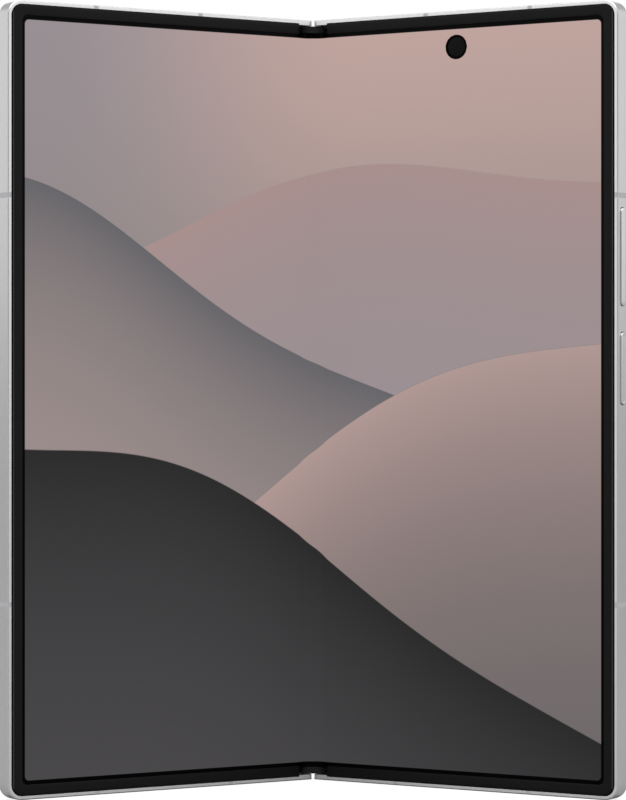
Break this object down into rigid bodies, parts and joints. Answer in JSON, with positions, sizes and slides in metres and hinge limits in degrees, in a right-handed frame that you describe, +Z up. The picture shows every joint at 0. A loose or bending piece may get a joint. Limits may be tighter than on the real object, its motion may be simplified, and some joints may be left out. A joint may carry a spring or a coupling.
{
  "type": "foldable smartphone",
  "caption": "Book-type folding phone standing partly open, with an inner display over a geared hinge, aluminium half frames, keys, SIM tray and rear cameras.",
  "frame": {"origin": "centre of the bounding box's bottom face, on the surface the phone stands on", "axes": "+Z up along the height and the hinge, +X to the viewer's right, +Y away from the viewer, screens facing -Y"},
  "size_m": [0.1246, 0.0416, 0.1584],
  "materials": {
    "satin_aluminium": "satin, bead blasted",
    "band_plastic": "satin moulded",
    "bezel_plastic": "fine matt",
    "cap_plastic": "fine matt",
    "hinge_steel": "sintered and polished",
    "clip_steel": "spring tempered",
    "screw_steel": "blackened",
    "flex_film": "polyimide film",
    "inner_display": "smooth polymer film over a lit panel",
    "plate_steel": "fine rolled",
    "battery_foil": "laminated foil",
    "circuit_board": "solder mask",
    "shield_metal": "tinned",
    "cover_panel": "laminated",
    "cover_glass": "polished glass over black print",
    "rear_glass": "etched satin glass",
    "camera_black": "black anodised",
    "speaker_plastic": "moulded",
    "mesh_metal": "etched",
    "tray_metal": "satin",
    "magnet_metal": "nickel plated",
    "port_metal": "drawn",
    "motor_metal": "drawn",
    "coil_copper": "enamelled copper",
    "island_metal": "satin",
    "ring_metal": "turned",
    "lens_glass": "polished dark glass",
    "flash_lens": "ribbed",
    "key_metal": "satin"
  },
  "bodies": {
    "spine": {"hinge_housing": "satin_aluminium", "hinge_end_cap_top": "cap_plastic", "hinge_end_cap_bottom": "cap_plastic", "hinge_bracket_top": "hinge_steel", "hinge_bracket_bottom": "hinge_steel", "hinge_screws": "screw_steel", "torque_clips": "clip_steel", "hinge_flex_cable": "flex_film", "display_fold": "inner_display"},
    "right_half": {"right_frame": "satin_aluminium", "right_antenna_bands": "band_plastic", "right_bezel": "bezel_plastic", "display_right": "inner_display", "right_support_plate": "plate_steel", "right_rotator_top": "hinge_steel", "right_rotator_bottom": "hinge_steel", "right_rotator_screws": "screw_steel", "right_battery": "battery_foil", "main_board": "circuit_board", "shield_cans": "shield_metal", "sub_board": "circuit_board", "usb_c_socket": "port_metal", "loudspeaker": "speaker_plastic", "speaker_mesh": "mesh_metal", "haptic_motor": "motor_metal", "inner_camera": "camera_black", "charging_coil": "coil_copper", "rear_glass": "rear_glass", "camera_island": "island_metal", "camera_rings": "ring_metal", "camera_lenses": "lens_glass", "rear_camera_modules": "camera_black", "flash_window": "flash_lens", "key_switch_flex": "flex_film", "right_magnets": "magnet_metal"},
    "left_half": {"left_frame": "satin_aluminium", "left_antenna_bands": "band_plastic", "left_bezel": "bezel_plastic", "display_left": "inner_display", "left_support_plate": "plate_steel", "left_rotator_top": "hinge_steel", "left_rotator_bottom": "hinge_steel", "left_rotator_screws": "screw_steel", "left_battery": "battery_foil", "left_board": "circuit_board", "cover_display_panel": "cover_panel", "cover_glass": "cover_glass", "cover_camera": "camera_black", "earpiece_speaker": "speaker_plastic", "sim_reader": "shield_metal", "left_magnets": "magnet_metal"},
    "right_arms": {"right_gear_arm_top": "hinge_steel", "right_gear_arm_bottom": "hinge_steel"},
    "left_arms": {"left_gear_arm_top": "hinge_steel", "left_gear_arm_bottom": "hinge_steel"},
    "right_idlers": {"right_idler_gears": "hinge_steel"},
    "left_idlers": {"left_idler_gears": "hinge_steel"},
    "volume_rocker": {"volume_key": "key_metal"},
    "power_button": {"power_key": "key_metal"},
    "sim_drawer": {"sim_tray": "tray_metal"}
  },
  "joints": [
    {"name": "right_fold", "type": "hinge", "parent": "spine", "child": "right_half", "pos_m": [0.00122, 0.0175, 0], "axis": [0, 0, -1], "range_deg": [-32.3, 57.7], "deforming": ["display_fold", "hinge_flex_cable"]},
    {"name": "left_fold", "type": "hinge", "parent": "spine", "child": "left_half", "pos_m": [-0.00122, 0.0175, 0], "axis": [0, 0, 1], "range_deg": [-32.3, 57.7]},
    {"name": "right_arm_turn", "type": "hinge", "parent": "spine", "child": "right_arms", "pos_m": [0.002, 0.01847, 0], "axis": [0, 0, -1], "range_deg": [-32.3, 57.7]},
    {"name": "left_arm_turn", "type": "hinge", "parent": "spine", "child": "left_arms", "pos_m": [-0.002, 0.01847, 0], "axis": [0, 0, 1], "range_deg": [-32.3, 57.7]},
    {"name": "right_idler_turn", "type": "hinge", "parent": "spine", "child": "right_idlers", "pos_m": [0.00067, 0.01847, 0], "axis": [0, 0, 1], "range_deg": [-32.3, 57.7]},
    {"name": "left_idler_turn", "type": "hinge", "parent": "spine", "child": "left_idlers", "pos_m": [-0.00067, 0.01847, 0], "axis": [0, 0, -1], "range_deg": [-32.3, 57.7]},
    {"name": "volume_rock", "type": "hinge", "parent": "right_half", "child": "volume_rocker", "pos_m": [0.05996, -0.0183, 0.10755], "axis": [0.5344, 0.8453, 0], "range_deg": [-1.2, 1.2], "stiffness_Nm_per_rad": 0.86},
    {"name": "power_press", "type": "slide", "parent": "right_half", "child": "power_button", "axis": [-0.8453, 0.5344, 0], "range_m": [0, 0.00025], "stiffness_N_per_m": 7000},
    {"name": "sim_slide", "type": "slide", "parent": "left_half", "child": "sim_drawer", "axis": [0, 0, -1], "range_m": [0, 0.018]}
  ],
  "couplings": [
    {"joint": "left_fold", "follows": "right_fold", "ratio": 1},
    {"joint": "right_arm_turn", "follows": "right_fold", "ratio": 1},
    {"joint": "left_arm_turn", "follows": "right_fold", "ratio": 1},
    {"joint": "right_idler_turn", "follows": "right_fold", "ratio": 1},
    {"joint": "left_idler_turn", "follows": "right_fold", "ratio": 1}
  ]
}
